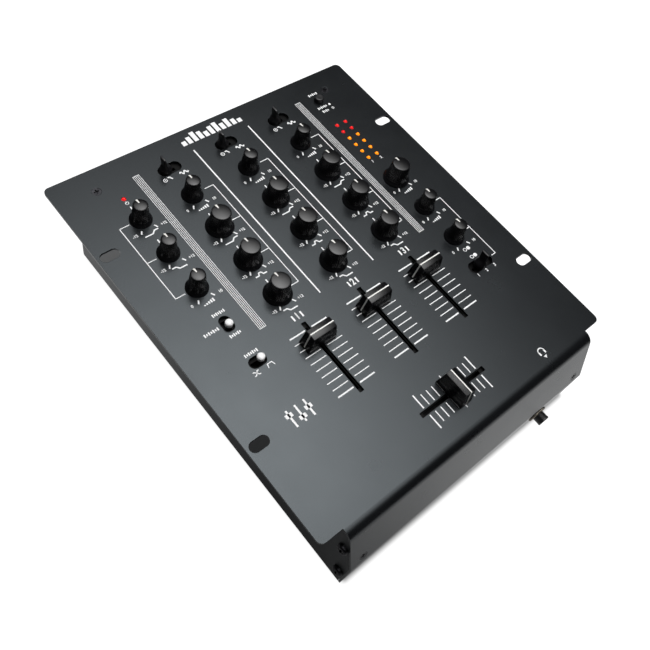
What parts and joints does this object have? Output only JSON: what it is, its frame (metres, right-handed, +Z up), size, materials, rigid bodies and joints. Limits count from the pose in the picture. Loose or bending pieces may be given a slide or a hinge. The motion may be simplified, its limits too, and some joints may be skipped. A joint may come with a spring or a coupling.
{
  "type": "mixing console",
  "caption": "Compact disc-jockey mixing console on a slotted half-rack faceplate with rotary tone controls, channel faders, crossfader and toggles.",
  "frame": {"origin": "centre of the flat faceplate's top surface, midway between the four rack slots", "axes": "+X to the user's right, +Y to the rear, +Z up out of the faceplate"},
  "size_m": [0.254, 0.3096, 0.0866],
  "materials": {
    "panel": "satin fine-texture dark grey powder coat, scratched lightly at the edges",
    "tray": "satin dark grey powder coat",
    "rear": "satin dark grey powder coat",
    "rubber": "matte black rubber",
    "black_screw": "blackened steel, slight sheen in the recess",
    "zinc": "bright zinc-plated steel",
    "board": "green solder mask with a satin finish",
    "pot": "plain plated steel can",
    "nut": "nickel-plated hexagon nuts",
    "switch_case": "matte black moulding",
    "cable": "grey flat ribbon with fine ribs",
    "knob": "satin black moulding with a fine grain, white pointer",
    "fader_cap": "satin black moulding, white centre line",
    "lever": "satin black moulding",
    "white_tip": "smooth white moulding",
    "button": "satin black moulding",
    "jack": "matte black moulding with a threaded sleeve",
    "jack_nut": "bright nickel plate, finely knurled",
    "rca": "plated pin sockets on black moulded blocks",
    "post": "bright nickel plate",
    "red_led": "lit red lens",
    "orange_led": "lit orange lens"
  },
  "bodies": {
    "console": {"top_panel": "panel", "chassis_tray": "tray", "rear_panel": "rear", "rubber_feet": "rubber", "panel_screws": "black_screw", "side_screws": "black_screw", "rear_screws": "zinc", "foot_screws": "zinc", "control_board": "board", "main_board": "board", "board_standoffs": "zinc", "board_screws": "zinc", "ribbon_cable": "cable", "pot_bodies": "pot", "pot_nuts": "nut", "fader_bodies": "switch_case", "toggle_bodies": "switch_case", "slide_switch_bodies": "switch_case", "meter_switch_body": "switch_case", "power_switch_body": "switch_case", "meter_leds_red": "red_led", "meter_leds_orange": "orange_led", "power_led": "red_led", "headphone_jack": "jack", "mic_jack": "jack", "jack_nuts": "jack_nut", "rca_jacks": "rca", "power_socket": "jack", "ground_posts": "post"},
    "mic_treble": {"mic_treble_knob": "knob"},
    "mic_bass": {"mic_bass_knob": "knob"},
    "mic_gain": {"mic_gain_knob": "knob"},
    "ch1_gain": {"ch1_gain_knob": "knob"},
    "ch1_treble": {"ch1_treble_knob": "knob"},
    "ch1_mid": {"ch1_mid_knob": "knob"},
    "ch1_bass": {"ch1_bass_knob": "knob"},
    "ch2_gain": {"ch2_gain_knob": "knob"},
    "ch2_treble": {"ch2_treble_knob": "knob"},
    "ch2_mid": {"ch2_mid_knob": "knob"},
    "ch2_bass": {"ch2_bass_knob": "knob"},
    "ch3_gain": {"ch3_gain_knob": "knob"},
    "ch3_treble": {"ch3_treble_knob": "knob"},
    "ch3_mid": {"ch3_mid_knob": "knob"},
    "ch3_bass": {"ch3_bass_knob": "knob"},
    "master_level": {"master_level_knob": "knob"},
    "cue_gain": {"cue_gain_knob": "knob"},
    "cue_mix": {"cue_mix_knob": "knob"},
    "ch1_level": {"ch1_fader": "fader_cap"},
    "ch2_level": {"ch2_fader": "fader_cap"},
    "ch3_level": {"ch3_fader": "fader_cap"},
    "crossfade": {"crossfader": "fader_cap"},
    "ch1_source": {"ch1_source_lever": "lever"},
    "ch2_source": {"ch2_source_lever": "lever"},
    "ch3_source": {"ch3_source_lever": "lever"},
    "cue_select": {"cue_lever": "lever"},
    "fader_mode": {"mode_lever": "white_tip"},
    "fader_slope": {"slope_lever": "white_tip"},
    "meter_select": {"meter_button": "button"},
    "power": {"power_rocker": "button"}
  },
  "joints": [
    {"name": "mic_treble_turn", "type": "hinge", "parent": "console", "child": "mic_treble", "pos_m": [-0.0872, 0.09, 0], "axis": [0, 0, 1], "range_deg": [-150, 150]},
    {"name": "mic_bass_turn", "type": "hinge", "parent": "console", "child": "mic_bass", "pos_m": [-0.0872, 0.059, 0], "axis": [0, 0, 1], "range_deg": [-150, 150]},
    {"name": "mic_gain_turn", "type": "hinge", "parent": "console", "child": "mic_gain", "pos_m": [-0.0872, 0.028, 0], "axis": [0, 0, 1], "range_deg": [-150, 150]},
    {"name": "ch1_gain_turn", "type": "hinge", "parent": "console", "child": "ch1_gain", "pos_m": [-0.0473, 0.09, 0], "axis": [0, 0, 1], "range_deg": [-150, 150]},
    {"name": "ch1_treble_turn", "type": "hinge", "parent": "console", "child": "ch1_treble", "pos_m": [-0.0473, 0.059, 0], "axis": [0, 0, 1], "range_deg": [-150, 150]},
    {"name": "ch1_mid_turn", "type": "hinge", "parent": "console", "child": "ch1_mid", "pos_m": [-0.0473, 0.028, 0], "axis": [0, 0, 1], "range_deg": [-150, 150]},
    {"name": "ch1_bass_turn", "type": "hinge", "parent": "console", "child": "ch1_bass", "pos_m": [-0.0473, -0.003, 0], "axis": [0, 0, 1], "range_deg": [-150, 150]},
    {"name": "ch2_gain_turn", "type": "hinge", "parent": "console", "child": "ch2_gain", "pos_m": [0, 0.09, 0], "axis": [0, 0, 1], "range_deg": [-150, 150]},
    {"name": "ch2_treble_turn", "type": "hinge", "parent": "console", "child": "ch2_treble", "pos_m": [0, 0.059, 0], "axis": [0, 0, 1], "range_deg": [-150, 150]},
    {"name": "ch2_mid_turn", "type": "hinge", "parent": "console", "child": "ch2_mid", "pos_m": [0, 0.028, 0], "axis": [0, 0, 1], "range_deg": [-150, 150]},
    {"name": "ch2_bass_turn", "type": "hinge", "parent": "console", "child": "ch2_bass", "pos_m": [0, -0.003, 0], "axis": [0, 0, 1], "range_deg": [-150, 150]},
    {"name": "ch3_gain_turn", "type": "hinge", "parent": "console", "child": "ch3_gain", "pos_m": [0.0473, 0.09, 0], "axis": [0, 0, 1], "range_deg": [-150, 150]},
    {"name": "ch3_treble_turn", "type": "hinge", "parent": "console", "child": "ch3_treble", "pos_m": [0.0473, 0.059, 0], "axis": [0, 0, 1], "range_deg": [-150, 150]},
    {"name": "ch3_mid_turn", "type": "hinge", "parent": "console", "child": "ch3_mid", "pos_m": [0.0473, 0.028, 0], "axis": [0, 0, 1], "range_deg": [-150, 150]},
    {"name": "ch3_bass_turn", "type": "hinge", "parent": "console", "child": "ch3_bass", "pos_m": [0.0473, -0.003, 0], "axis": [0, 0, 1], "range_deg": [-150, 150]},
    {"name": "master_level_turn", "type": "hinge", "parent": "console", "child": "master_level", "pos_m": [0.0874, 0.028, 0], "axis": [0, 0, 1], "range_deg": [-150, 150]},
    {"name": "cue_gain_turn", "type": "hinge", "parent": "console", "child": "cue_gain", "pos_m": [0.0874, -0.003, 0], "axis": [0, 0, 1], "range_deg": [-150, 150]},
    {"name": "cue_mix_turn", "type": "hinge", "parent": "console", "child": "cue_mix", "pos_m": [0.0874, -0.034, 0], "axis": [0, 0, 1], "range_deg": [-150, 150]},
    {"name": "ch1_fader_slide", "type": "slide", "parent": "console", "child": "ch1_level", "axis": [0, 1, 0], "range_m": [-0.0367, 0.0083]},
    {"name": "ch2_fader_slide", "type": "slide", "parent": "console", "child": "ch2_level", "axis": [0, 1, 0], "range_m": [-0.0367, 0.0083]},
    {"name": "ch3_fader_slide", "type": "slide", "parent": "console", "child": "ch3_level", "axis": [0, 1, 0], "range_m": [-0.0367, 0.0083]},
    {"name": "crossfader_slide", "type": "slide", "parent": "console", "child": "crossfade", "axis": [1, 0, 0], "range_m": [-0.0225, 0.0225]},
    {"name": "ch1_source_tilt", "type": "hinge", "parent": "console", "child": "ch1_source", "pos_m": [-0.0473, 0.1164, -0.0162], "axis": [0, 1, 0], "range_deg": [0, 21.2]},
    {"name": "ch2_source_tilt", "type": "hinge", "parent": "console", "child": "ch2_source", "pos_m": [0, 0.1164, -0.0162], "axis": [0, 1, 0], "range_deg": [0, 21.2]},
    {"name": "ch3_source_tilt", "type": "hinge", "parent": "console", "child": "ch3_source", "pos_m": [0.0473, 0.1164, -0.0162], "axis": [0, 1, 0], "range_deg": [0, 21.2]},
    {"name": "cue_select_tilt", "type": "hinge", "parent": "console", "child": "cue_select", "pos_m": [0.0875, -0.061, -0.0162], "axis": [0, 1, 0], "range_deg": [-16.8, 23.2]},
    {"name": "fader_mode_slide", "type": "slide", "parent": "console", "child": "fader_mode", "axis": [0, 1, 0], "range_m": [0, 0.0036]},
    {"name": "fader_slope_slide", "type": "slide", "parent": "console", "child": "fader_slope", "axis": [1, 0, 0], "range_m": [-0.0038, 0]},
    {"name": "meter_button_press", "type": "slide", "parent": "console", "child": "meter_select", "axis": [0, 0, -1], "range_m": [0, 0.001], "stiffness_N_per_m": 300},
    {"name": "power_rocker_tilt", "type": "hinge", "parent": "console", "child": "power", "pos_m": [-0.078, 0.1244, -0.042], "axis": [1, 0, 0], "range_deg": [-18, 0]}
  ]
}
